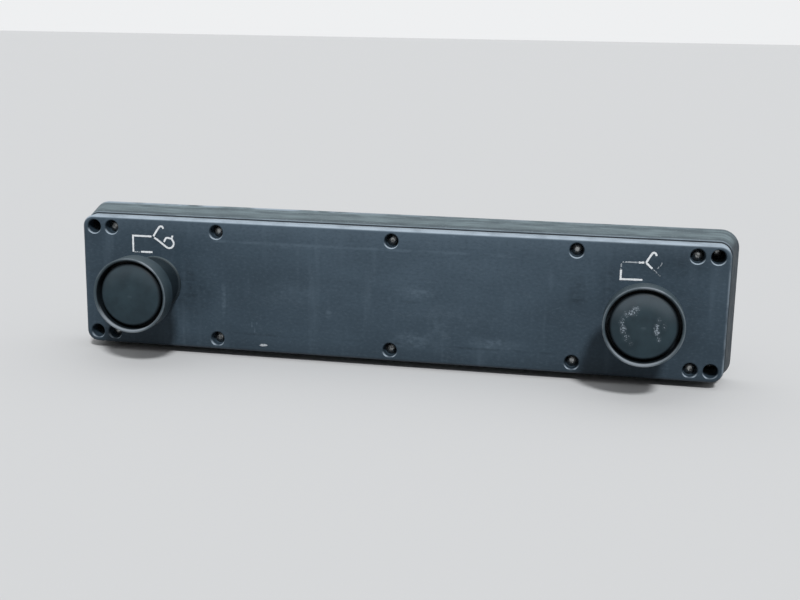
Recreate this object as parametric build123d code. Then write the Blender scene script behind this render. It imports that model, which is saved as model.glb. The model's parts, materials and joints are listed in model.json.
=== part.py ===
from build123d import *
import os

# Two-hand push-button control box for the side of a refuse truck's body.
# Lengths are millimetres. Every piece is drawn as it lies on its back: x runs to the right along
# the box, y up the wall and z out from the wall. stand_up then turns it so that the front faces -Y.

# Buttons, far enough apart that it takes both hands to press them
button_spacing = 300.0
button_to_cover_end = 47.5

# Cover, a shallow moulded tray
cover_height = 81.0
cover_depth = 9.0
cover_corner_radius = 7.0
cover_edge_radius = 1.8
cover_face_thickness = 3.5
cover_wall = 2.6

# Gasket, a dark line round the back of the cover
gasket_thickness = 1.0
gasket_overhang = 0.4

# Housing, a tub that stands proud of the cover by a ledge and flares out towards the wall
housing_depth = 20.0
housing_ledge = 1.2
housing_edge_bevel = 0.5
housing_side_flare = 3.6
housing_end_flare = 4.6
housing_back_corner_radius = 11.0
housing_floor = 4.0
cavity_corner_radius = 4.0
land_corner_radius = 3.0

# Cover screws, in two rows of five: one on the middle, one inside each button, one at each end
screw_to_cover_edge = 6.8
screw_to_cover_end = 19.1
screw_inside_button = 40.0
screw_boss_radius = 6.5
screw_shank_radius = 2.0
screw_hole_clearance = 0.25
screw_head_radius = 3.8
screw_head_height = 2.2
screw_socket_width = 2.5
screw_socket_depth = 1.3
screw_length = 14.0
screw_hole_spare_depth = 1.0

# Wells for the screw heads
well_radius = 4.3
well_depth = 6.5
well_lip = 0.5

# Holes for the wall screws, right through the box, with the seat of each head deep in the housing
wall_hole_to_cover_end = 7.5
wall_hole_radius = 2.25
wall_screw_seat = 8.0

# Guard, a collar round each button: foot, neck, cone and a wider sleeve
guard_height = 41.0
guard_sleeve_radius = 22.6
guard_sleeve_depth = 12.0
guard_rim_width = 1.7
guard_rim_bevel = 0.8
guard_rim_round = 0.5
guard_pocket_depth = 10.6
guard_cone_height = 2.5
guard_neck_radius = 15.8
guard_neck_wall = 2.4
guard_foot_radius = 16.7
guard_foot_height = 1.0
guard_floor = 4.0

# Button cap
cap_gap = 2.0
cap_below_rim = 0.8
cap_crown = 1.4
cap_edge_thickness = 2.2
cap_edge_round = 1.8
cap_hub_radius = 9.0
cap_hub_height = 4.0
cap_socket_floor = 2.6

# Stem, and the snap ring that stops it
stem_radius = 6.0
stem_running_clearance = 0.05
stem_tail = 1.2
stem_end_chamfer = 0.5
clip_radius = 8.6
clip_thickness = 1.0
clip_groove_depth = 1.0

# Bush and its nut
bush_neck_radius = 11.0
bush_hole_clearance = 0.15
bush_flange_gap = 0.2
bush_flange_thickness = 3.0
bush_tube_radius = 9.0
bush_tube_height = 17.0
nut_thickness = 4.0
nut_width = 27.0

# Cable entry in the housing's floor
cable_bore_radius = 3.5
grommet_neck_radius = 7.0
grommet_flange_radius = 10.0
grommet_flange_thickness = 1.5

# Levels out from the wall
housing_front = housing_depth
cover_back = housing_front + gasket_thickness
cover_front = cover_back + cover_depth
cover_inside = cover_front - cover_face_thickness
screw_seat = cover_front - well_depth
bush_seat = cover_front + guard_floor
nut_back = cover_inside - nut_thickness
guard_front = cover_front + guard_height
cap_front = guard_front - cap_below_rim
cap_edge = cap_front - cap_crown
cap_back = cap_edge - cap_edge_thickness
stem_front = cap_front - cap_socket_floor
stem_back = nut_back - clip_thickness - stem_tail

# Sizes that follow from the ones above
cover_width = button_spacing + 2 * button_to_cover_end
sleeve_bore = guard_sleeve_radius - guard_rim_width
neck_bore = guard_neck_radius - guard_neck_wall
bush_hole_radius = bush_neck_radius + bush_hole_clearance
screw_hole_radius = screw_shank_radius + screw_hole_clearance
stem_bore_radius = stem_radius + stem_running_clearance
clip_groove_radius = stem_radius - clip_groove_depth

# Places on the cover
screw_row_y = cover_height / 2 - screw_to_cover_edge
end_screw_x = cover_width / 2 - screw_to_cover_end
inner_screw_x = button_spacing / 2 - screw_inside_button
wall_hole_x = cover_width / 2 - wall_hole_to_cover_end
screw_columns = (-end_screw_x, -inner_screw_x, 0, inner_screw_x, end_screw_x)
screw_rows = (screw_row_y, -screw_row_y)
screw_places = [(x, y) for x in screw_columns for y in screw_rows]
wall_hole_places = [(x, y) for x in (-wall_hole_x, wall_hole_x) for y in screw_rows]
button_places = {"left": (-button_spacing / 2, 0), "right": (button_spacing / 2, 0)}


def stand_up(shape):
    return Rot(90, 0, 0) * shape


def rod(radius, bottom, top):
    return Pos(0, 0, bottom) * extrude(Circle(radius), top - bottom)


def rods(places, radius, bottom, top):
    return [Pos(x, y) * rod(radius, bottom, top) for x, y in places]


def turned(outline):
    """A solid of revolution from an outline of (radius, level) corners."""
    face = make_face(Polyline(*[(r, 0, z) for r, z in outline], close=True))
    return revolve(face, Axis.Z, 360)


def cover_outline(overhang):
    """The cover's outline, moved out by overhang."""
    return RectangleRounded(
        cover_width + 2 * overhang,
        cover_height + 2 * overhang,
        cover_corner_radius + overhang,
    )


def cavity_outline():
    """The inner outline of tub and tray, which goes round the screw bosses and the corner lands."""
    outline = RectangleRounded(
        cover_width - 2 * cover_wall,
        cover_height - 2 * cover_wall,
        cavity_corner_radius,
    )
    land = RectangleRounded(
        cover_width - 2 * (end_screw_x - screw_boss_radius),
        cover_height - 2 * (screw_row_y - screw_boss_radius),
        land_corner_radius,
    )
    for x in (-cover_width / 2, cover_width / 2):
        for y in (-cover_height / 2, cover_height / 2):
            outline -= Pos(x, y) * land
    for x, y in screw_places:
        if abs(x) < end_screw_x:
            outline -= Pos(x, y) * Circle(screw_boss_radius)
    return outline


def make_housing():
    back = RectangleRounded(
        cover_width + 2 * (housing_ledge + housing_end_flare),
        cover_height + 2 * (housing_ledge + housing_side_flare),
        housing_back_corner_radius,
    )
    shoulder = Pos(0, 0, housing_front - housing_edge_bevel) * cover_outline(housing_ledge)
    front = Pos(0, 0, housing_front) * cover_outline(housing_ledge - housing_edge_bevel)
    tub = loft([back, shoulder, front], ruled=True)
    tub -= Pos(0, 0, housing_floor) * extrude(cavity_outline(), housing_depth)
    screw_hole_bottom = screw_seat - screw_length - screw_hole_spare_depth
    for hole in rods(screw_places, screw_shank_radius, screw_hole_bottom, housing_front):
        tub -= hole
    for hole in rods(wall_hole_places, wall_hole_radius, 0, wall_screw_seat):
        tub -= hole
    for bore in rods(wall_hole_places, well_radius, wall_screw_seat, housing_front):
        tub -= bore
    tub -= rod(grommet_flange_radius, 0, grommet_flange_thickness)
    tub -= rod(grommet_neck_radius, 0, housing_floor)
    return tub


def make_gasket():
    outline = cover_outline(gasket_overhang) - cavity_outline()
    gasket = Pos(0, 0, housing_front) * extrude(outline, gasket_thickness)
    for hole in rods(screw_places, screw_hole_radius, housing_front, cover_back):
        gasket -= hole
    for bore in rods(wall_hole_places, well_radius, housing_front, cover_back):
        gasket -= bore
    return gasket


def make_cover():
    """A tray, hollow from the back, with a well for each screw head."""
    tray = Pos(0, 0, cover_back) * extrude(cover_outline(0), cover_depth)
    tray = fillet(tray.faces().sort_by(Axis.Z)[-1].edges(), cover_edge_radius)
    tray -= Pos(0, 0, cover_back) * extrude(cavity_outline(), cover_inside - cover_back)
    well = turned([
        (0, screw_seat),
        (well_radius, screw_seat),
        (well_radius, cover_front - well_lip),
        (well_radius + well_lip, cover_front),
        (0, cover_front),
    ])
    for x, y in screw_places + wall_hole_places:
        tray -= Pos(x, y) * well
    for hole in rods(screw_places, screw_hole_radius, cover_back, cover_front):
        tray -= hole
    for bore in rods(wall_hole_places, well_radius, cover_back, cover_front):
        tray -= bore
    for hole in rods(button_places.values(), bush_hole_radius, cover_back, cover_front):
        tray -= hole
    return tray


def make_cover_screw():
    """A button-head screw with a hexagon socket, its thread left plain."""
    head_top = screw_seat + screw_head_height
    dome_radius = (screw_head_radius**2 + screw_head_height**2) / (2 * screw_head_height)
    head = Pos(0, 0, head_top - dome_radius) * Sphere(dome_radius)
    head &= rod(screw_head_radius, screw_seat, head_top)
    socket = RegularPolygon(screw_socket_width / 2, 6, major_radius=False)
    head -= Pos(0, 0, head_top - screw_socket_depth) * extrude(socket, screw_head_height)
    return head + rod(screw_shank_radius, screw_seat - screw_length, screw_seat)


def make_guard():
    foot_top = cover_front + guard_foot_height
    sleeve_foot = guard_front - guard_sleeve_depth
    neck_top = sleeve_foot - guard_cone_height
    ledge = guard_front - guard_pocket_depth
    collar = turned([
        (bush_hole_radius, cover_front),
        (guard_foot_radius, cover_front),
        (guard_foot_radius, foot_top),
        (guard_neck_radius, foot_top + guard_foot_radius - guard_neck_radius),
        (guard_neck_radius, neck_top),
        (guard_sleeve_radius, sleeve_foot),
        (guard_sleeve_radius, guard_front),
        (sleeve_bore + guard_rim_bevel, guard_front),
        (sleeve_bore, guard_front - guard_rim_bevel),
        (sleeve_bore, ledge),
        (neck_bore, ledge),
        (neck_bore, bush_seat),
        (bush_hole_radius, bush_seat),
    ])
    rim_edges = collar.faces().sort_by(Axis.Z)[-1].edges()
    return fillet(rim_edges.sort_by(SortBy.LENGTH)[-1], guard_rim_round)


def make_bush():
    """The fixed guide: a neck through the cover, a flange on the guard's floor, a tube in front."""
    flange_radius = neck_bore - bush_flange_gap
    flange_top = bush_seat + bush_flange_thickness
    return turned([
        (stem_bore_radius, nut_back),
        (bush_neck_radius, nut_back),
        (bush_neck_radius, bush_seat),
        (flange_radius, bush_seat),
        (flange_radius, flange_top),
        (bush_tube_radius, flange_top),
        (bush_tube_radius, flange_top + bush_tube_height),
        (stem_bore_radius, flange_top + bush_tube_height),
    ])


def make_nut():
    hexagon = RegularPolygon(nut_width / 2, 6, major_radius=False)
    return Pos(0, 0, nut_back) * extrude(hexagon - Circle(bush_neck_radius), nut_thickness)


def make_cap():
    """A shallow mushroom head with a crowned front, and a hub behind it that takes the stem."""
    radius = sleeve_bore - cap_gap
    crown_radius = (radius**2 + cap_crown**2) / (2 * cap_crown)
    head = Pos(0, 0, cap_front - crown_radius) * Sphere(crown_radius)
    head &= rod(radius, cap_back, cap_front)
    rims = head.edges().filter_by(lambda edge: edge.is_closed)
    head = fillet(rims.group_by(Axis.Z)[-1], cap_edge_round)
    hub = rod(cap_hub_radius, cap_back - cap_hub_height, cap_back)
    socket = rod(stem_radius, cap_back - cap_hub_height, stem_front)
    return head + hub - socket


def make_stem():
    groove_back = nut_back - clip_thickness
    return turned([
        (0, stem_back),
        (stem_radius - stem_end_chamfer, stem_back),
        (stem_radius, stem_back + stem_end_chamfer),
        (stem_radius, groove_back),
        (clip_groove_radius, groove_back),
        (clip_groove_radius, nut_back),
        (stem_radius, nut_back),
        (stem_radius, stem_front),
        (0, stem_front),
    ])


def make_clip():
    ring = Circle(clip_radius) - Circle(clip_groove_radius)
    return Pos(0, 0, nut_back - clip_thickness) * extrude(ring, clip_thickness)


def make_grommet():
    """A rubber ring that grips the edge of the cable hole in the housing's floor."""
    inner_flange_top = housing_floor + grommet_flange_thickness
    return turned([
        (cable_bore_radius, 0),
        (grommet_flange_radius, 0),
        (grommet_flange_radius, grommet_flange_thickness),
        (grommet_neck_radius, grommet_flange_thickness),
        (grommet_neck_radius, housing_floor),
        (grommet_flange_radius, housing_floor),
        (grommet_flange_radius, inner_flange_top),
        (cable_bore_radius, inner_flange_top),
    ])


cover_screw = make_cover_screw()
pieces = {
    "housing": make_housing(),
    "gasket": make_gasket(),
    "cover": make_cover(),
    "cover_screws": Compound(children=[Pos(x, y) * cover_screw for x, y in screw_places]),
    "cable_grommet": make_grommet(),
}

button_unit = {
    "guard": make_guard(),
    "bush": make_bush(),
    "bush_nut": make_nut(),
    "cap": make_cap(),
    "stem": make_stem(),
    "clip": make_clip(),
}
for side, (x, y) in button_places.items():
    for name, shape in button_unit.items():
        pieces[name + "_" + side] = Pos(x, y) * shape

os.makedirs("parts", exist_ok=True)
for name, shape in pieces.items():
    export_step(stand_up(shape), "parts/" + name + ".step")
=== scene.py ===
import json
import math
import random

import bmesh
import bpy
from mathutils import Matrix, Vector

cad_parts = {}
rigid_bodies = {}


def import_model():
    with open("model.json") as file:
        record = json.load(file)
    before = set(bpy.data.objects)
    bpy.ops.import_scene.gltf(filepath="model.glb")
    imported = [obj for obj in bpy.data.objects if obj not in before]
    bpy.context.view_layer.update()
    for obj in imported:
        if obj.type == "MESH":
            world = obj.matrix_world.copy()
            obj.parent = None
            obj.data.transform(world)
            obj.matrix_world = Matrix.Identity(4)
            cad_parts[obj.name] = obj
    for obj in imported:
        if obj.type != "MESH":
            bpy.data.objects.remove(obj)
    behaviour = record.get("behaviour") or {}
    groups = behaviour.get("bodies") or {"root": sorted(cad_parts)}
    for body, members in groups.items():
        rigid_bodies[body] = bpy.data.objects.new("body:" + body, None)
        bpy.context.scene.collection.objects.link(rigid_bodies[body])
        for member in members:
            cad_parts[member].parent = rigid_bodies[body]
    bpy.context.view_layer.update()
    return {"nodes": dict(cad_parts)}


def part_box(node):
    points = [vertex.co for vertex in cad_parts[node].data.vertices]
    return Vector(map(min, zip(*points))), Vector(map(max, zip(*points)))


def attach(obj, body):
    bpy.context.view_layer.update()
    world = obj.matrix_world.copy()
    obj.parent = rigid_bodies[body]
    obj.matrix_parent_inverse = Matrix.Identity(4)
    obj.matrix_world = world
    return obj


# The scene starts empty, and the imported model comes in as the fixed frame
for left_over in list(bpy.data.objects):
    bpy.data.objects.remove(left_over)
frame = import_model()

MM = 0.001

# Camera: the photograph's eye point and tilt, turned towards the box and zoomed in on it
EYE = Vector((140.1, -722.7, 156.9)) * MM
AIM = Vector((6.0, -30.0, -2.0)) * MM
CAMERA_ROLL = 0.017
LENS = 54.0
SENSOR_WIDTH = 36.0
NEAREST_SEEN = 0.01
FARTHEST_SEEN = 100.0

# Light: one soft sun from the upper right, and a pale surround that is brighter overhead
SUN_DIRECTION = Vector((0.234, -0.688, 0.688))
SUN_STRENGTH = 2.7
SUN_SPREAD = math.radians(8)
SURROUND_LIGHT = 0.14
OVERHEAD_LIGHT = 0.78
BACKGROUND = (0.86, 0.87, 0.88)
FLOOR_COLOUR = (0.58, 0.59, 0.60)
FLOOR_SHADE = (0.20, 0.20, 0.20)
FLOOR_SIZE = 60.0
FLOOR_ROUGHNESS = 0.9
FLOOR_GLOSS = 0.2

# Places read from the frame
COVER_LOW, COVER_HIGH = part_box("cover")
FACE = COVER_LOW.y
COVER_CORNER_RADIUS = 7 * MM
HOUSING_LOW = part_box("housing")[0]
HOUSING_FRONT = HOUSING_LOW.y
BUTTONS = {}
for side in ("left", "right"):
    low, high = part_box("guard_" + side)
    BUTTONS[side] = (low + high) / 2
GUARD_LOW, GUARD_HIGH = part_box("guard_right")
GUARD_RADIUS = (GUARD_HIGH.x - GUARD_LOW.x) / 2
MOUTH = GUARD_LOW.y
CAP_LOW, CAP_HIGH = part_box("cap_right")
CAP_RADIUS = (CAP_HIGH.x - CAP_LOW.x) / 2
CROWN = CAP_LOW.y

# Colours, as linear light
RECESS_SHADE = (0.003, 0.005, 0.007)
MARK_PALE = (0.13, 0.18, 0.23)
MARK_DARK = (0.017, 0.028, 0.039)
COVER_DARK = (0.027, 0.044, 0.061)
COVER_LIGHT = (0.037, 0.059, 0.081)
COVER_FADED = (0.062, 0.093, 0.125)
EDGE_PALE = (0.33, 0.40, 0.47)
HOUSING_DARK = (0.026, 0.036, 0.045)
HOUSING_LIGHT = (0.038, 0.052, 0.064)
DUST_AND_PAINTED_LIGHT = (0.070, 0.098, 0.113)
PALE_DUST_AND_HIGHLIGHT = (0.165, 0.215, 0.235)
GUARD_DARK = (0.022, 0.036, 0.046)
GUARD_LIGHT = (0.033, 0.053, 0.068)
RIM_PALE = (0.19, 0.22, 0.25)
CAP_DARK = (0.014, 0.026, 0.034)
CAP_LIGHT = (0.022, 0.040, 0.051)
SCUFF = (0.27, 0.32, 0.37)
PAINT_WHITE = (0.84, 0.88, 0.92)
PAINT_GREY = (0.42, 0.46, 0.50)
STEEL = (0.56, 0.55, 0.53)
STEEL_DULL = (0.34, 0.35, 0.35)
STEEL_GRIME = (0.045, 0.048, 0.049)
RUBBER = (0.014, 0.015, 0.016)
RUBBER_DUSTY = (0.034, 0.038, 0.041)
PLASTIC_GLOSS = 0.20
HAIRLINE_FINENESS = 0.006

# Marks on the cover, in millimetres: across, up, width, height and strength, which is below 0 where dark
COVER_MARKS = (
    (15, 3, 15, 5.5, 0.36),
    (12, -3, 8, 1.2, -0.5),
    (12, -27, 15, 8, 0.36),
    (40, -12, 40, 12, 0.14),
    (29, -24, 12, 13, 0.20),
    (-62, -4, 26, 12, 0.12),
    (64, -26, 24, 6, 0.32),
    (-38, -13, 3, 6, 0.34),
    (-105.5, -8, 2.4, 14, 0.34),
    (-87.4, -23.4, 0.7, 2.6, 0.8),
    (-85.6, -26.8, 0.7, 2.4, 0.7),
    (-84.2, -22.6, 0.6, 1.4, 0.6),
    (-60, 27, 30, 2.0, 0.20),
    (37.7, 38.2, 1.0, 0.8, 0.9),
    (112, 8, 8, 15, -0.75),
    (130, 13, 10, 20, -0.60),
    # Painted shadow beside the left guard's foot
    (-129, -3, 20, 24, -0.95),
    (96, 16, 3, 9, 0.16),
    (-178, -6, 14, 26, -0.30),
    (172, -6, 16, 44, -0.40),
    (-190, 4, 8, 11, -0.30),
    (166, 30, 26, 13, -0.42),
)

# Pale places on the rims of the guards, rubbed wear with a painted highlight where the rim catches the
# light, and dull ones that keep the rim dark, as above
RIM_WEAR_AND_HIGHLIGHT = (
    (-138, 19, 9, 7, 1.0),
    (-164, -16, 16, 11, 0.85),
    (-151, -22, 13, 5, 0.60),
    (148, -22, 16, 6, 1.0),
    (154, 21, 10, 5, 0.85),
)
RIM_DULL = (
    (-172, 4, 9, 17, 0.90),
    (-163, 19, 12, 8, 0.80),
    (-135, -17, 8, 9, 0.50),
    (164, -16, 8, 9, 0.35),
    (173, 4, 6, 12, 0.35),
)

# Scuffs on each cap, as above but measured from its axis, and how pale its top is: rubbed wear with a
# painted highlight where it faces up
CAP_TOP_WEAR_AND_HIGHLIGHT = {"left": 0.10, "right": 0.24}
SCUFFS_WIDER = 1.5
SCUFFS_TALLER = 1.4
CAP_MARKS = {
    "left": (
        (-4.5, 9.8, 2.0, 1.0, 0.12),
        (-2.0, 7.6, 3.0, 0.9, 0.12),
        (0.8, 5.6, 2.2, 1.0, 0.10),
        (-3, 4, 13, 9, 0.05),
    ),
    "right": (
        (-4.6, 10.0, 2.4, 1.6, 0.80),
        (-6.4, 7.4, 2.6, 2.0, 0.85),
        (-9.6, 6.6, 1.8, 2.2, 0.60),
        (-11.8, 1.8, 1.6, 3.4, 0.60),
        (-11.0, -2.4, 1.8, 3.0, 0.80),
        (-9.0, -6.4, 2.2, 2.8, 0.45),
        (-6.6, -9.6, 1.6, 2.0, 0.35),
        (8.0, 3.9, 1.4, 2.2, 0.50),
        (6.9, 0.6, 1.6, 2.2, 0.60),
        (7.2, -2.2, 1.8, 2.2, 0.95),
        (8.6, -6.4, 1.4, 2.2, 0.55),
        (11.2, 1.0, 1.6, 2.6, 0.30),
        (-2.5, 2.0, 12, 11, 0.06),
    ),
}

# The painted symbol, in millimetres across and up from the button's axis: an open bin, and its hinged
# flap drawn as a hook and a loop with an arrow
SYMBOL_WIDTH = 1.15
SYMBOL_WORN = 0.02
RUBBED_WIDTH = 0.75
RUBBED_WORN = 0.27
WIDTH_VARIES = (0.86, 1.10)
PAINT_THICKNESS = 0.06 * MM
STROKE_STEP = 0.006 * MM
BIN_LEFT = -14.2
BIN_RIGHT = -1.9
BIN_TOP = 29.0
BIN_BOTTOM = 18.8
HINGE = (-0.7, 29.2)
HOOK = [HINGE, (2.6, 34.3), (4.0, 35.6), (5.3, 35.4), (5.9, 34.2)]
LOOP = [
    (-0.2, 28.4), (2.6, 26.6), (6.6, 23.6), (9.0, 22.3),
    (11.4, 22.9), (12.6, 25.4), (11.4, 28.2), (11.9, 30.2),
]
ARROW = [(6.2, 26.0), (7.9, 28.6), (11.0, 28.2)]

# What is left of the right-hand symbol, whose lines stand a little lower
WORN_HOOK = [(HINGE[0] + 0.4, HINGE[1] - 0.7), (2.6, 33.6), (3.8, 34.6), (5.0, 34.0), (5.4, 32.8)]
WORN_LOOP = [(-0.1, 28.4), (1.6, 26.9), (3.4, 25.2)]
WORN_LOOP_END = [(3.8, 24.9), (6.0, 23.0), (8.4, 21.2)]
WORN_ARROW = [(6.2, 25.4), (7.4, 26.6), (8.9, 29.1)]

# A small fleck of white paint near the lower edge, in millimetres
FLECK_ACROSS = -80.0
FLECK_UP = -36.0
FLECK_WIDTH = 2.7
FLECK_HEIGHT = 0.8
FLECK_CORNERS = 14
FLECK_VARIES = (0.7, 1.1)
FLECK_SEED = 5

# Wall screws, sunk deep in the corner bores: a pan head with a round recess, as (radius, depth) in
# millimetres from its seat
WALL_SCREW_X = 190.0 * MM
WALL_SCREW_Z = 33.7 * MM
WALL_SCREW_SEAT = -8.0 * MM
WALL_SCREW_PROFILE = (
    (0.0, -1.6), (1.3, -1.6), (1.5, -2.4), (2.6, -2.2), (3.4, -1.6),
    (3.7, -0.7), (3.7, 0.0), (2.0, 0.0), (2.0, 7.5), (0.0, 7.5),
)
TURNED_STEPS = 32
SHARP_EDGE = math.radians(35)
SAME_POINT = 0.001 * MM


class Look:
    """A material being built. Each method adds a node and returns its output."""

    def __init__(self, name, roughness, metallic=0.0):
        self.material = bpy.data.materials.new(name)
        self.material.use_nodes = True
        self.nodes = self.material.node_tree.nodes
        self.links = self.material.node_tree.links
        self.shader = self.nodes["Principled BSDF"]
        self.shader.inputs["Roughness"].default_value = roughness
        self.shader.inputs["Metallic"].default_value = metallic
        if not metallic:
            self.shader.inputs["Specular IOR Level"].default_value = PLASTIC_GLOSS
        place = self.node("ShaderNodeTexCoord")
        self.point = place.outputs["Object"]
        self.x, self.y, self.z = self.node("ShaderNodeSeparateXYZ", Vector=self.point).outputs
        facing = self.node("ShaderNodeSeparateXYZ", Vector=place.outputs["Normal"])
        self.upward = facing.outputs["Z"]

    def feed(self, socket, value):
        if isinstance(value, bpy.types.NodeSocket):
            self.links.new(value, socket)
        elif socket.type == "RGBA" and len(value) == 3:
            socket.default_value = (*value, 1)
        else:
            socket.default_value = value

    def node(self, kind, mode=None, **inputs):
        made = self.nodes.new(kind)
        for setting, value in (mode or {}).items():
            setattr(made, setting, value)
        for name, value in inputs.items():
            self.feed(made.inputs[name], value)
        return made

    def math(self, operation, first, second=0.0):
        made = self.node("ShaderNodeMath", {"operation": operation})
        self.feed(made.inputs[0], first)
        self.feed(made.inputs[1], second)
        return made.outputs[0]

    def vector(self, operation, first, second=(0, 0, 0)):
        made = self.node("ShaderNodeVectorMath", {"operation": operation})
        self.feed(made.inputs[0], first)
        self.feed(made.inputs[1], second)
        return made.outputs["Value"] if operation in ("LENGTH", "DISTANCE") else made.outputs["Vector"]

    def times(self, *values):
        product = values[0]
        for value in values[1:]:
            product = self.math("MULTIPLY", product, value)
        return product

    def most(self, *values):
        largest = values[0]
        for value in values[1:]:
            largest = self.math("MAXIMUM", largest, value)
        return largest

    def plus(self, base, value, share):
        """This share of value on top of base."""
        return self.math("ADD", base, self.times(value, share))

    def ramp(self, value, zero_at, one_at):
        """0 at zero_at, 1 at one_at and smooth between, whichever of them is the larger."""
        made = self.node("ShaderNodeMapRange", {"interpolation_type": "SMOOTHSTEP"}, Value=value)
        self.feed(made.inputs["From Min"], zero_at)
        self.feed(made.inputs["From Max"], one_at)
        return made.outputs["Result"]

    def near(self, value, middle, zero_at, one_at):
        """0 where value is zero_at away from middle on either side, and 1 where it is one_at away."""
        away = self.math("ABSOLUTE", self.math("SUBTRACT", value, middle))
        return self.ramp(away, zero_at, one_at)

    def mix(self, share, first, second):
        made = self.node("ShaderNodeMix", {"data_type": "RGBA"})
        self.feed(made.inputs[0], share)
        self.feed(made.inputs[6], first)
        self.feed(made.inputs[7], second)
        return made.outputs[2]

    def toned(self, clouds, dark, light):
        """A cloudy mix of two tones."""
        return self.mix(self.ramp(clouds, 0.30, 0.70), dark, light)

    def noise(self, size, detail=2.0, angle=0.0, shift=0.0):
        """Smooth noise with grains of this size, one length or one along each axis."""
        lengths = size if isinstance(size, tuple) else (size, size, size)
        placed = self.node(
            "ShaderNodeMapping",
            {"vector_type": "TEXTURE"},
            Vector=self.point,
            Location=(shift, shift, shift),
            Rotation=(0, angle, 0),
            Scale=lengths,
        )
        texture = self.node("ShaderNodeTexNoise", Vector=placed.outputs[0], Scale=1.0, Detail=detail)
        return texture.outputs[0]

    def hairlines(self, length, spacing, angle, shift):
        """Thin wandering lines, where noise stretched along one direction passes its middle value."""
        drawn = self.noise((length, length, spacing), detail=1.0, angle=angle, shift=shift)
        patches = self.noise(length / 2, detail=1.0, shift=shift + 1)
        return self.times(self.near(drawn, 0.5, HAIRLINE_FINENESS, 0.0), self.ramp(patches, 0.50, 0.64))

    def from_axis(self, centre):
        """Distance from a line along Y through centre."""
        flat = self.vector("MULTIPLY", self.point, (1, 0, 1))
        return self.vector("DISTANCE", flat, (centre[0], 0, centre[2]))

    def spot(self, centre, width, height):
        """1 at a place on the front, falling to 0 at this width and height from it."""
        away = self.vector("SUBTRACT", self.point, centre)
        scaled = self.vector("MULTIPLY", away, (1 / width, 0, 1 / height))
        return self.ramp(self.vector("LENGTH", scaled), 1.0, 0.2)

    def strongest(self, marks, origin=Vector((0, 0, 0)), wider=1.0, taller=1.0):
        """How strong the strongest of these marks is at each place."""
        found = 0.0
        for across, up, width, height, strength in marks:
            place = origin + Vector((across, 0, up)) * MM
            spread = self.spot(place, wider * width * MM, taller * height * MM)
            found = self.most(found, self.times(spread, strength))
        return found

    def from_outline(self, half_width, half_height, corner_radius):
        """Signed distance from a rounded rectangle seen from the front, negative inside."""
        inner = (half_width - corner_radius, 0, half_height - corner_radius)
        flat = self.vector("MULTIPLY", self.point, (1, 0, 1))
        away = self.vector("SUBTRACT", self.vector("ABSOLUTE", flat), inner)
        outside = self.vector("LENGTH", self.vector("MAXIMUM", away, (0, 0, 0)))
        sides = self.node("ShaderNodeSeparateXYZ", Vector=away).outputs
        inside = self.math("MINIMUM", self.math("MAXIMUM", sides["X"], sides["Z"]), 0.0)
        return self.math("SUBTRACT", self.math("ADD", outside, inside), corner_radius)

    def rough(self, share, smooth, coarse):
        made = self.node("ShaderNodeMapRange", Value=share)
        self.feed(made.inputs["To Min"], smooth)
        self.feed(made.inputs["To Max"], coarse)
        self.feed(self.shader.inputs["Roughness"], made.outputs["Result"])

    def relief(self, rounding, *layers):
        """Rounded edges, then a bump for each (height, depth) layer."""
        edge = self.node("ShaderNodeBevel", {"samples": 6}, Radius=rounding)
        normal = edge.outputs["Normal"]
        for height, depth in layers:
            made = self.node("ShaderNodeBump", Height=height, Distance=depth, Normal=normal)
            normal = made.outputs["Normal"]
        self.feed(self.shader.inputs["Normal"], normal)

    def finish(self, colour):
        self.feed(self.shader.inputs["Base Color"], colour)
        return self.material


def cover_tone(look, front, clouds):
    """Cloudy tone, faded most along the middle and towards the top."""
    middle = look.near(look.x, 12 * MM, 150 * MM, 20 * MM)
    high = look.plus(0.30, look.ramp(look.z, -34 * MM, 36 * MM), 0.55)
    blotches = look.ramp(look.noise((34 * MM, 30 * MM, 14 * MM), detail=5, shift=3), 0.32, 0.72)
    faded = look.times(middle, high, look.plus(0.45, blotches, 0.45))
    colour = look.toned(clouds, COVER_DARK, COVER_LIGHT)
    return look.mix(look.times(front, faded), colour, COVER_FADED)


def cover_marked(look, front, colour):
    """Single marks, each at its place, one of them a painted shadow, a slow change from the lower edge to
    the upper one, and a pale top strip that is wear with a painted sheen.
    """
    mottle = look.ramp(look.noise((4.5 * MM, 4 * MM, 2.6 * MM), detail=4, shift=7), 0.40, 0.70)
    mottled = look.plus(0.25, mottle, 0.75)
    for across, up, width, height, strength in COVER_MARKS:
        shape = look.spot(Vector((across, 0, up)) * MM, width * MM, height * MM)
        share = look.times(shape, front, mottled, abs(strength))
        colour = look.mix(share, colour, MARK_PALE if strength > 0 else MARK_DARK)
    inwards = look.near(look.x, 0.0, 150 * MM, 110 * MM)
    upper = look.times(look.ramp(look.z, 4 * MM, 32 * MM), inwards, 0.30)
    # A pale strip along the top edge: wear with a painted sheen
    top_strip = look.times(look.ramp(look.z, 28 * MM, 41 * MM), 0.22)
    lower_strip = look.ramp(look.z, -28 * MM, -39 * MM)
    colour = look.mix(look.times(upper, front), colour, COVER_FADED)
    colour = look.mix(look.times(top_strip, front), colour, MARK_PALE)
    return look.mix(look.times(lower_strip, front, 0.45), colour, MARK_DARK)


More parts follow.
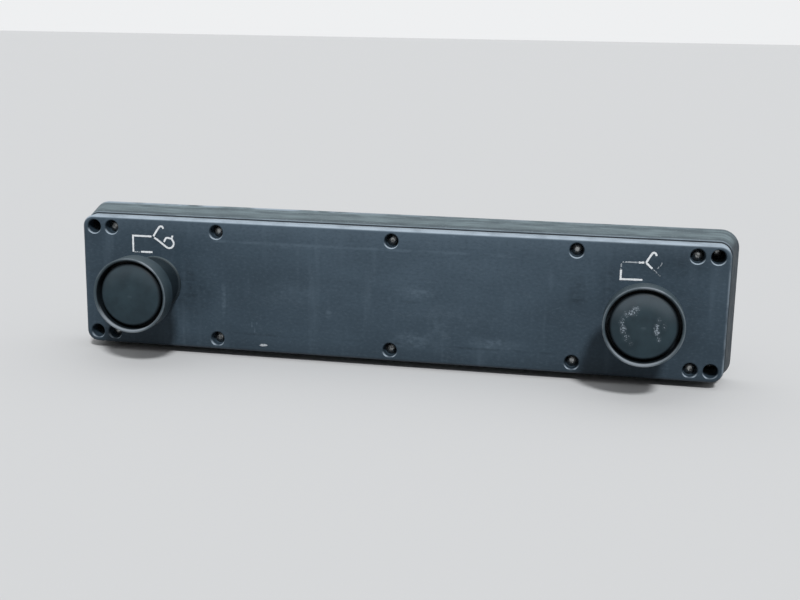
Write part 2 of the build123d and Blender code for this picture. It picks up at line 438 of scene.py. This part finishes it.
def cover_worn(look, front, scratches, colour):
    """A faint field border, as a painted highlight line above and a painted shade line below, fine mottling,
    a few streaks and thin scratches.
    """
    broken = look.ramp(look.noise((14 * MM, 14 * MM, 6 * MM), detail=4, shift=19), 0.40, 0.60)
    along = look.near(look.x, -4 * MM, 111 * MM, 104 * MM)
    # The field's edges: a painted highlight along the upper one and painted shade along the lower one
    upper_line = look.near(look.z, 28.3 * MM, 1.5 * MM, 0.2 * MM)
    lower_line = look.near(look.z, -29.3 * MM, 1.2 * MM, 0.2 * MM)
    colour = look.mix(look.times(upper_line, along, broken, front, 0.22), colour, MARK_PALE)
    colour = look.mix(look.times(lower_line, along, broken, front, 0.50), colour, MARK_DARK)
    fine = look.noise((2.4 * MM, 2 * MM, 1.4 * MM), detail=5, shift=23)
    colour = look.mix(look.times(look.ramp(fine, 0.50, 0.30), front, 0.22), colour, MARK_DARK)
    colour = look.mix(look.times(look.ramp(fine, 0.50, 0.72), front, 0.10), colour, MARK_PALE)
    streaks = look.ramp(look.noise((7 * MM, 20 * MM, 60 * MM), detail=2, shift=7), 0.52, 0.80)
    worn = look.most(look.times(streaks, 0.14), look.times(scratches, 0.16))
    return look.mix(look.times(front, worn), colour, MARK_PALE)


def cover_edges(look, colour):
    """Pale edges, strongest along the top and the right: polished wear with a painted highlight where an
    edge faces up, and low in each well dust with a painted highlight on its lower lip.
    """
    inside = look.from_outline(COVER_HIGH.x, COVER_HIGH.z, COVER_CORNER_RADIUS)
    rubbed = look.ramp(look.noise((12 * MM, 12 * MM, 12 * MM), detail=4, shift=2), 0.25, 0.60)
    near_edge = look.ramp(inside, -1.6 * MM, -0.5 * MM)
    rising = look.ramp(look.upward, 0.15, 0.70)
    right_end = look.ramp(look.x, COVER_HIGH.x - 4 * MM, COVER_HIGH.x)
    # Low in each well: dust, with a painted highlight on the lower lip
    in_well = look.times(look.ramp(inside, -2.2 * MM, -3.0 * MM), look.ramp(look.upward, 0.10, 0.60))
    well_mouth = look.ramp(look.y, FACE + 2.2 * MM, FACE + 0.8 * MM)
    pale = look.most(
        look.times(near_edge, rising, look.plus(0.65, rubbed, 0.35)),
        look.times(near_edge, right_end, rubbed, 0.45),
        look.times(near_edge, rubbed, 0.10),
        look.times(in_well, well_mouth, 0.85),
    )
    return look.mix(pale, colour, EDGE_PALE)


def cover_look():
    look = Look("faded_cover_plastic", roughness=0.5)
    front = look.ramp(look.y, FACE + 1.2 * MM, FACE + 0.1 * MM)
    clouds = look.noise((60 * MM, 45 * MM, 30 * MM), detail=3)
    scratches = look.most(
        look.hairlines(30 * MM, 1.6 * MM, 0.25, 11),
        look.hairlines(22 * MM, 1.4 * MM, -0.5, 13),
    )
    colour = cover_tone(look, front, clouds)
    colour = cover_marked(look, front, colour)
    colour = cover_worn(look, front, scratches, colour)
    colour = cover_edges(look, colour)
    grain = look.noise(0.35 * MM, detail=2)
    look.relief(0.35 * MM, (grain, 0.04 * MM), (scratches, -0.04 * MM))
    look.rough(look.ramp(clouds, 0.3, 0.7), 0.46, 0.58)
    return look.finish(colour)


def housing_look():
    look = Look("housing_plastic", roughness=0.6)
    clouds = look.noise(30 * MM, detail=4, shift=4)
    colour = look.toned(clouds, HOUSING_DARK, HOUSING_LIGHT)

    # Dust lies on the top side, streaked along it, thin by the joint and thick along the middle
    rising = look.ramp(look.upward, 0.35, 0.85)
    grime = look.ramp(look.noise((16 * MM, 2.4 * MM, 8 * MM), detail=8, shift=6), 0.38, 0.72)
    dusty = look.mix(grime, DUST_AND_PAINTED_LIGHT, PALE_DUST_AND_HIGHLIGHT)
    colour = look.mix(look.times(rising, 0.95), colour, dusty)
    by_joint = look.ramp(look.y, HOUSING_FRONT + 7 * MM, HOUSING_FRONT + 1 * MM)
    colour = look.mix(look.times(by_joint, rising, 0.45), colour, HOUSING_LIGHT)
    ridge = look.near(look.y, -11.5 * MM, 5 * MM, 0.5 * MM)
    colour = look.mix(look.times(ridge, rising, 0.38), colour, PALE_DUST_AND_HIGHLIGHT)
    specks = look.ramp(look.noise(1.1 * MM, detail=3, shift=8), 0.58, 0.70)
    colour = look.mix(look.times(rising, specks, 0.6), colour, PALE_DUST_AND_HIGHLIGHT)

    # The lip at the joint is pale, and so is the back edge, most of all towards the left: rubbed wear with a
    # painted highlight where they face up
    rubbed = look.ramp(look.noise((16 * MM, 16 * MM, 16 * MM), detail=4, shift=9), 0.35, 0.62)
    lip = look.times(
        look.ramp(look.y, HOUSING_FRONT + 1.0 * MM, HOUSING_FRONT + 0.1 * MM),
        look.ramp(look.upward, 0.1, 0.6),
    )
    colour = look.mix(look.times(lip, look.plus(0.24, rubbed, 0.20)), colour, EDGE_PALE)
    back_edge = look.ramp(look.y, -4.5 * MM, -0.5 * MM)
    left_part = look.plus(0.35, look.ramp(look.x, 20 * MM, -90 * MM), 0.65)
    colour = look.mix(look.times(back_edge, rising, rubbed, left_part, 0.9), colour, EDGE_PALE)

    grain = look.noise(0.5 * MM, detail=3)
    look.relief(0.35 * MM, (grain, 0.08 * MM), (look.noise(6 * MM, detail=2, shift=3), 0.12 * MM))
    look.rough(grime, 0.55, 0.75)
    return look.finish(colour)


def from_button(look):
    """Distance from the axis of the button at the same end of the box."""
    end = look.math("SIGN", look.x)
    away = look.math("SUBTRACT", look.x, look.times(end, BUTTONS["right"].x))
    return look.vector("LENGTH", look.node("ShaderNodeCombineXYZ", X=away, Z=look.z).outputs[0])


def guard_dust_and_shade(look, off_axis, colour):
    """Dust on what faces up. The sleeve's outer wall is lighter: dust, with painted light for its lit side.
    Painted shade lies on the neck under the sleeve and in the bore.
    """
    rising = look.ramp(look.upward, 0.2, 0.9)
    colour = look.mix(look.times(rising, 0.26), colour, DUST_AND_PAINTED_LIGHT)
    # The sleeve's outer wall near the rim: dust, with painted light for its lit side
    near_rim = look.ramp(look.y, MOUTH + 11 * MM, MOUTH + 1 * MM)
    colour = look.mix(look.times(near_rim, 0.40), colour, DUST_AND_PAINTED_LIGHT)
    # Painted shade on the neck under the sleeve and deep in the bore
    behind = look.ramp(look.y, MOUTH + 11.5 * MM, MOUTH + 15 * MM)
    bore = look.ramp(off_axis, GUARD_RADIUS - 1.3 * MM, GUARD_RADIUS - 1.7 * MM)
    pocket = look.ramp(look.y, MOUTH + 11.6 * MM, MOUTH + 10.8 * MM)
    painted_shade = look.most(look.times(behind, 0.62), look.times(bore, pocket, 0.88))
    return look.mix(painted_shade, colour, RECESS_SHADE)


def guard_rim_wear_and_highlight(look, off_axis, colour):
    """The rim is pale on its face, its outer edge and the inner slope that faces up: rubbed wear, with a
    painted highlight on the upward slope and at the listed bright places.
    """
    rubbed = look.ramp(look.noise(5 * MM, detail=4, shift=12), 0.25, 0.62)
    marked = look.strongest(RIM_WEAR_AND_HIGHLIGHT)
    dull = look.strongest(RIM_DULL)
    face = look.ramp(look.y, MOUTH + 0.9 * MM, MOUTH + 0.1 * MM)
    flat = look.times(face, look.plus(look.times(rubbed, 0.14), marked, 0.75))
    outer = look.ramp(off_axis, GUARD_RADIUS - 0.95 * MM, GUARD_RADIUS - 0.35 * MM)
    edge = look.times(face, outer, look.plus(look.math("ADD", marked, 0.12), rubbed, 0.42))
    # Painted highlight on the inner slope where it faces up
    slope = look.times(
        look.ramp(off_axis, GUARD_RADIUS - 0.7 * MM, GUARD_RADIUS - 1.1 * MM),
        look.ramp(look.upward, 0.15, 0.6),
        look.ramp(look.y, MOUTH + 2.5 * MM, MOUTH + 0.8 * MM),
    )
    pale = look.times(look.most(flat, edge, slope), look.math("SUBTRACT", 1.0, dull))
    return look.mix(pale, colour, RIM_PALE)


def guard_look():
    look = Look("guard_plastic", roughness=0.5)
    clouds = look.noise(14 * MM, detail=4, shift=5)
    off_axis = from_button(look)
    colour = look.toned(clouds, GUARD_DARK, GUARD_LIGHT)
    colour = guard_dust_and_shade(look, off_axis, colour)
    colour = guard_rim_wear_and_highlight(look, off_axis, colour)

    # A painted highlight, partly dust, on the upper part of the foot, and nicks all over
    foot = look.ramp(look.y, GUARD_HIGH.y - 1.6 * MM, GUARD_HIGH.y - 0.8 * MM)
    upper_part = look.ramp(look.z, 0.0, 14 * MM)
    colour = look.mix(look.times(foot, upper_part, 0.5), colour, PALE_DUST_AND_HIGHLIGHT)
    nicks = look.ramp(look.noise((2 * MM, 2 * MM, 0.7 * MM), detail=2, shift=15), 0.68, 0.76)
    colour = look.mix(look.times(nicks, 0.25), colour, RIM_PALE)

    grain = look.noise(0.4 * MM, detail=2)
    look.relief(0.3 * MM, (grain, 0.04 * MM))
    look.rough(look.ramp(clouds, 0.3, 0.7), 0.42, 0.56)
    return look.finish(colour)


def cap_look(name, centre, scuffs, rubbed):
    """A matt cap round its axis at centre, with a table of scuffs. rubbed says how pale its top is, as wear
    with a painted highlight.
    """
    look = Look(name, roughness=0.6)
    clouds = look.noise(9 * MM, detail=5, shift=6)
    colour = look.mix(look.ramp(clouds, 0.30, 0.72), CAP_DARK, CAP_LIGHT)
    front = look.ramp(look.y, CROWN + 2.0 * MM, CROWN + 1.4 * MM)

    # The crown's upper shoulder is lighter, rubbed wear with a painted highlight where it faces up, and
    # painted shade darkens the side wall in the gap round it
    off_axis = look.from_axis(centre)
    shoulder = look.ramp(off_axis, CAP_RADIUS - 12 * MM, CAP_RADIUS - 3 * MM)
    high = look.ramp(look.z, 0.0, 15 * MM)
    colour = look.mix(look.times(shoulder, high, front, rubbed), colour, RIM_PALE)
    side = look.ramp(off_axis, CAP_RADIUS - 1.9 * MM, CAP_RADIUS - 0.2 * MM)
    colour = look.mix(look.times(side, 0.90), colour, RECESS_SHADE)

    # Scuffs are flecks of noise that come through where a mark raises it
    flecks = look.noise((0.8 * MM, 0.8 * MM, 0.65 * MM), detail=3, angle=0.6, shift=21)
    marked = look.strongest(scuffs, centre, SCUFFS_WIDER, SCUFFS_TALLER)
    raised = look.ramp(look.plus(flecks, marked, 0.22), 0.64, 0.76)
    within = look.ramp(marked, 0.04, 0.40)
    scuffed = look.plus(look.times(marked, 0.10), look.times(raised, within), 0.80)
    colour = look.mix(look.times(scuffed, front), colour, SCUFF)

    grain = look.noise(0.30 * MM, detail=2)
    look.relief(0.25 * MM, (grain, 0.05 * MM))
    look.rough(look.ramp(clouds, 0.3, 0.7), 0.52, 0.66)
    return look.finish(colour)


def steel_look(name, grime_share, brushed, steel=STEEL):
    """Steel with patches of grime. brushed is the size of its finish's lines."""
    look = Look(name, roughness=0.35, metallic=1.0)
    patches = look.ramp(look.noise(2.2 * MM, detail=4, shift=3), 0.62 - 0.3 * grime_share, 0.70)
    colour = look.mix(look.times(patches, grime_share), steel, STEEL_GRIME)
    lines = look.noise(brushed, detail=2, shift=4)
    look.relief(0.15 * MM, (lines, 0.03 * MM))
    look.rough(patches, 0.24, 0.60)
    return look.finish(colour)


def rubber_look(name, dusty, coarse=0.8, dust=RUBBER_DUSTY):
    """Black rubber or plastic. dusty says how much dust lies on what faces up."""
    look = Look(name, roughness=coarse)
    patches = look.ramp(look.noise(4 * MM, detail=4, shift=2), 0.40, 0.75)
    rising = look.ramp(look.upward, 0.2, 0.9)
    colour = look.mix(look.times(patches, 0.4), RUBBER, RUBBER_DUSTY)
    colour = look.mix(look.times(rising, dusty), colour, dust)
    look.relief(0.2 * MM, (look.noise(0.45 * MM, detail=2), 0.05 * MM))
    return look.finish(colour)


def paint_look(name, worn, paint):
    """Line paint, with the plastic showing where it has rubbed off. worn says how much has."""
    look = Look(name, roughness=0.45)
    flakes = look.noise((0.9 * MM, 0.9 * MM, 0.7 * MM), detail=3, shift=31)
    patches = look.noise(5 * MM, detail=2, shift=33)
    cut = look.plus(flakes, look.math("SUBTRACT", patches, 0.5), 0.9)
    lost = look.ramp(cut, 0.74 - worn, 0.82 - worn)
    faded = look.mix(look.ramp(flakes, 0.3, 0.7), paint, tuple(0.80 * c for c in paint))
    look.relief(0.1 * MM, (flakes, 0.03 * MM))
    return look.finish(look.mix(lost, faded, COVER_LIGHT))


def smooth(points, steps=6):
    """A curve through the points, cut into short straight steps."""
    ends = [points[0], *points, points[-1]]
    line = []
    for before, start, end, after in zip(ends, ends[1:], ends[2:], ends[3:]):
        for step in range(steps):
            t = step / steps
            line.append(tuple(
                0.5 * (2 * b + (c - a) * t + (2 * a - 5 * b + 4 * c - d) * t**2
                       + (3 * b - a - 3 * c + d) * t**3)
                for a, b, c, d in zip(before, start, end, after)
            ))
    return line + [points[-1]]


def straight(start, end, pieces=14):
    """A straight line cut into even steps."""
    return [
        tuple(a + (b - a) * step / pieces for a, b in zip(start, end))
        for step in range(pieces + 1)
    ]


def add_stroke(vertices, faces, line, width, front, back, draws):
    """Adds a flat closed ribbon along a line of (x, z) points in millimetres, its width a little uneven."""
    first = len(vertices)
    count = len(line)
    for index, (x, z) in enumerate(line):
        ahead = line[min(index + 1, count - 1)]
        behind = line[max(index - 1, 0)]
        along = Vector((ahead[0] - behind[0], ahead[1] - behind[1])).normalized()
        half = width / 2 * draws.uniform(*WIDTH_VARIES)
        across = Vector((-along.y, along.x)) * half
        for side, level in ((1, front), (-1, front), (-1, back), (1, back)):
            vertices.append(Vector(((x + side * across.x) * MM, level, (z + side * across.y) * MM)))
    for index in range(count - 1):
        start = first + 4 * index
        for corner in range(4):
            after = (corner + 1) % 4
            faces.append((start + corner, start + after, start + 4 + after, start + 4 + corner))
    last = first + 4 * (count - 1)
    faces.append((first + 3, first + 2, first + 1, first))
    faces.append((last, last + 1, last + 2, last + 3))


def mesh_piece(name, vertices, faces, material, body):
    mesh = bpy.data.meshes.new(name)
    mesh.from_pydata(vertices, [], faces)
    mesh.validate()
    mesh.update()
    mesh.materials.append(material)
    piece = bpy.data.objects.new(name, mesh)
    bpy.context.scene.collection.objects.link(piece)
    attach(piece, body)
    return piece


def symbol_left():
    """The left symbol is nearly whole: its strokes, then those that have almost rubbed off."""
    whole = [
        straight((BIN_RIGHT, BIN_TOP), (BIN_LEFT, BIN_TOP)),
        straight((BIN_LEFT, BIN_TOP + SYMBOL_WIDTH / 2), (BIN_LEFT, BIN_BOTTOM)),
        straight((BIN_LEFT + 5.0, BIN_BOTTOM + 0.2), (BIN_RIGHT + 0.3, BIN_BOTTOM + 0.3)),
        smooth(HOOK),
        smooth(LOOP),
        smooth(ARROW),
    ]
    rubbed = [straight((BIN_LEFT + 0.8, BIN_BOTTOM), (BIN_LEFT + 4.6, BIN_BOTTOM + 0.1), 6)]
    return whole, rubbed


def symbol_right():
    """The right symbol is worn: a broken top line, and only the start of the loop is whole."""
    whole = [
        straight((BIN_RIGHT - 2.4, BIN_TOP - 0.5), (BIN_RIGHT + 0.6, BIN_TOP - 0.4), 6),
        straight((BIN_LEFT, BIN_BOTTOM + 5.0), (BIN_LEFT, BIN_BOTTOM - 1.2), 8),
        straight((BIN_LEFT, BIN_BOTTOM - 0.6), (BIN_RIGHT + 0.1, BIN_BOTTOM - 0.4)),
        smooth(WORN_HOOK),
        smooth(WORN_LOOP),
    ]
    rubbed = [
        straight((BIN_LEFT, BIN_TOP - 0.6), (BIN_RIGHT - 2.2, BIN_TOP - 0.5), 12),
        straight((BIN_LEFT, BIN_TOP - 1.6), (BIN_LEFT, BIN_BOTTOM + 5.4), 6),
        smooth(WORN_LOOP_END),
        smooth(WORN_ARROW),
    ]
    return whole, rubbed


def add_symbol(side, strokes, seed):
    draws = random.Random(seed)
    back = FACE + PAINT_THICKNESS
    whole = ("symbol_", strokes[0], SYMBOL_WIDTH, SYMBOL_WORN, PAINT_WHITE)
    rubbed = ("symbol_rubbed_", strokes[1], RUBBED_WIDTH, RUBBED_WORN, PAINT_GREY)
    for name, lines, width, worn, paint in (whole, rubbed):
        vertices = []
        faces = []
        for index, line in enumerate(lines):
            front = FACE - PAINT_THICKNESS - index * STROKE_STEP
            placed = [(x + BUTTONS[side].x / MM, z) for x, z in line]
            add_stroke(vertices, faces, placed, width, front, back, draws)
        material = paint_look(name + "paint_" + side, worn, paint)
        mesh_piece(name + side, vertices, faces, material, "box")


def add_fleck(material):
    """A thin plate of paint with an uneven outline, sunk to half its thickness."""
    draws = random.Random(FLECK_SEED)
    ring = []
    for corner in range(FLECK_CORNERS):
        turn = 2 * math.pi * corner / FLECK_CORNERS
        reach = draws.uniform(*FLECK_VARIES)
        across = FLECK_ACROSS + FLECK_WIDTH * reach * math.cos(turn)
        up = FLECK_UP + FLECK_HEIGHT * reach * math.sin(turn)
        ring.append((across * MM, up * MM))
    levels = (FACE - PAINT_THICKNESS, FACE + PAINT_THICKNESS)
    vertices = [Vector((x, level, z)) for level in levels for x, z in ring]
    back = FLECK_CORNERS
    faces = [tuple(range(back)), tuple(range(2 * back - 1, back - 1, -1))]
    for corner in range(FLECK_CORNERS):
        after = (corner + 1) % FLECK_CORNERS
        faces.append((corner, corner + back, after + back, after))
    mesh_piece("paint_fleck", vertices, faces, material, "box")


def add_wall_screws(material):
    """One screw in each corner bore, turned from the profile."""
    vertices = []
    faces = []
    for place_x in (-WALL_SCREW_X, WALL_SCREW_X):
        for place_z in (-WALL_SCREW_Z, WALL_SCREW_Z):
            first = len(vertices)
            rows = len(WALL_SCREW_PROFILE)
            for step in range(TURNED_STEPS):
                turn = 2 * math.pi * step / TURNED_STEPS
                for radius, depth in WALL_SCREW_PROFILE:
                    vertices.append(Vector((
                        place_x + radius * MM * math.cos(turn),
                        WALL_SCREW_SEAT + depth * MM,
                        place_z + radius * MM * math.sin(turn),
                    )))
            for step in range(TURNED_STEPS):
                here = first + step * rows
                after = first + (step + 1) % TURNED_STEPS * rows
                for row in range(rows - 1):
                    faces.append((here + row, after + row, after + row + 1, here + row + 1))
    piece = mesh_piece("wall_screws", vertices, faces, material, "box")
    merge_doubles(piece)
    piece.data.shade_smooth()
    piece.data.set_sharp_from_angle(angle=SHARP_EDGE)


def merge_doubles(piece):
    """Joins the corners that meet on a turned piece's axis and turns its faces outwards."""
    work = bmesh.new()
    work.from_mesh(piece.data)
    bmesh.ops.remove_doubles(work, verts=work.verts, dist=SAME_POINT)
    bmesh.ops.recalc_face_normals(work, faces=work.faces)
    work.to_mesh(piece.data)
    work.free()


def dress(node, material):
    """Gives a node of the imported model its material."""
    for slot in frame["nodes"][node].material_slots:
        slot.material = material


def seen_share(tree):
    """1 for what the camera, gloss and glass see, and 0 for the light that goes on to other things."""
    path = tree.nodes.new("ShaderNodeLightPath")
    share = path.outputs["Is Camera Ray"]
    for ray in ("Is Glossy Ray", "Is Transmission Ray"):
        either = tree.nodes.new("ShaderNodeMath")
        either.operation = "MAXIMUM"
        tree.links.new(share, either.inputs[0])
        tree.links.new(path.outputs[ray], either.inputs[1])
        share = either.outputs[0]
    return share


def make_stage():
    """The floor, pale to the camera and in gloss, and darker in the light that it sends back."""
    floor_level = HOUSING_LOW.z
    half = FLOOR_SIZE / 2
    mesh = bpy.data.meshes.new("floor")
    corners = [(-half, -half, floor_level), (half, -half, floor_level), (half, half, floor_level),
               (-half, half, floor_level)]
    mesh.from_pydata(corners, [], [(0, 1, 2, 3)])
    floor = bpy.data.objects.new("floor", mesh)
    bpy.context.scene.collection.objects.link(floor)
    material = bpy.data.materials.new("floor")
    material.use_nodes = True
    shader = material.node_tree.nodes["Principled BSDF"]
    shader.inputs["Roughness"].default_value = FLOOR_ROUGHNESS
    shader.inputs["Specular IOR Level"].default_value = FLOOR_GLOSS
    seen = material.node_tree.nodes.new("ShaderNodeMix")
    seen.data_type = "RGBA"
    seen.inputs[6].default_value = (*FLOOR_SHADE, 1)
    seen.inputs[7].default_value = (*FLOOR_COLOUR, 1)
    material.node_tree.links.new(seen_share(material.node_tree), seen.inputs[0])
    material.node_tree.links.new(seen.outputs[2], shader.inputs["Base Color"])
    mesh.materials.append(material)


def make_world():
    """A surround that lights the box from above, and a pale background for what the camera and gloss see."""
    world = bpy.data.worlds.new("surround")
    world.use_nodes = True
    bpy.context.scene.world = world
    nodes = world.node_tree.nodes
    links = world.node_tree.links
    nodes.clear()
    output = nodes.new("ShaderNodeOutputWorld")
    lighting = nodes.new("ShaderNodeBackground")
    lighting.inputs["Color"].default_value = (1, 1, 1, 1)
    place = nodes.new("ShaderNodeTexCoord")
    direction = nodes.new("ShaderNodeSeparateXYZ")
    links.new(place.outputs["Generated"], direction.inputs[0])
    strength = nodes.new("ShaderNodeMapRange")
    strength.inputs["To Min"].default_value = SURROUND_LIGHT
    strength.inputs["To Max"].default_value = OVERHEAD_LIGHT
    links.new(direction.outputs["Z"], strength.inputs["Value"])
    links.new(strength.outputs[0], lighting.inputs["Strength"])
    seen = nodes.new("ShaderNodeBackground")
    seen.inputs["Color"].default_value = (*BACKGROUND, 1)
    seen.inputs["Strength"].default_value = 1.0
    both = nodes.new("ShaderNodeMixShader")
    links.new(seen_share(world.node_tree), both.inputs["Fac"])
    links.new(lighting.outputs[0], both.inputs[1])
    links.new(seen.outputs[0], both.inputs[2])
    links.new(both.outputs[0], output.inputs["Surface"])


def make_sun():
    lamp = bpy.data.lights.new("sun", "SUN")
    lamp.energy = SUN_STRENGTH
    lamp.angle = SUN_SPREAD
    sun = bpy.data.objects.new("sun", lamp)
    bpy.context.scene.collection.objects.link(sun)
    sun.rotation_mode = "QUATERNION"
    sun.rotation_quaternion = SUN_DIRECTION.to_track_quat("Z", "Y")


def make_camera():
    data = bpy.data.cameras.new("camera")
    data.sensor_width = SENSOR_WIDTH
    data.lens = LENS
    data.clip_start = NEAREST_SEEN
    data.clip_end = FARTHEST_SEEN
    camera = bpy.data.objects.new("camera", data)
    bpy.context.scene.collection.objects.link(camera)
    turned = (AIM - EYE).to_track_quat("-Z", "Y").to_matrix().to_4x4()
    camera.matrix_world = Matrix.Translation(EYE) @ turned @ Matrix.Rotation(CAMERA_ROLL, 4, "Z")
    bpy.context.scene.camera = camera


# Camera, floor and light
bpy.context.scene.view_settings.view_transform = "Standard"
make_camera()
make_stage()
make_world()
make_sun()

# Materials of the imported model
screw_material = steel_look("screw_steel", 0.85, 0.5 * MM, STEEL_DULL)
dress("cover", cover_look())
dress("housing", housing_look())
dress("gasket", rubber_look("gasket_rubber", 0.9, dust=HOUSING_LIGHT))
dress("cable_grommet", rubber_look("grommet_rubber", 0.3, 0.6))
dress("cover_screws", screw_material)
guard_material = guard_look()
bush_material = rubber_look("bush_plastic", 0.2, 0.45)
nut_material = steel_look("nut_steel", 0.3, 1.5 * MM)
stem_material = steel_look("stem_steel", 0.15, (2 * MM, 0.2 * MM, 2 * MM))
for side in BUTTONS:
    dress("guard_" + side, guard_material)
    dress("bush_" + side, bush_material)
    dress("bush_nut_" + side, nut_material)
    dress("stem_" + side, stem_material)
    dress("clip_" + side, stem_material)
for side, marks in CAP_MARKS.items():
    dress("cap_" + side, cap_look("cap_surface_" + side, BUTTONS[side], marks, CAP_TOP_WEAR_AND_HIGHLIGHT[side]))

# Pieces that ride on the box
add_symbol("left", symbol_left(), seed=1)
add_symbol("right", symbol_right(), seed=2)
add_fleck(paint_look("fleck_paint", 0.12, PAINT_GREY))
add_wall_screws(screw_material)
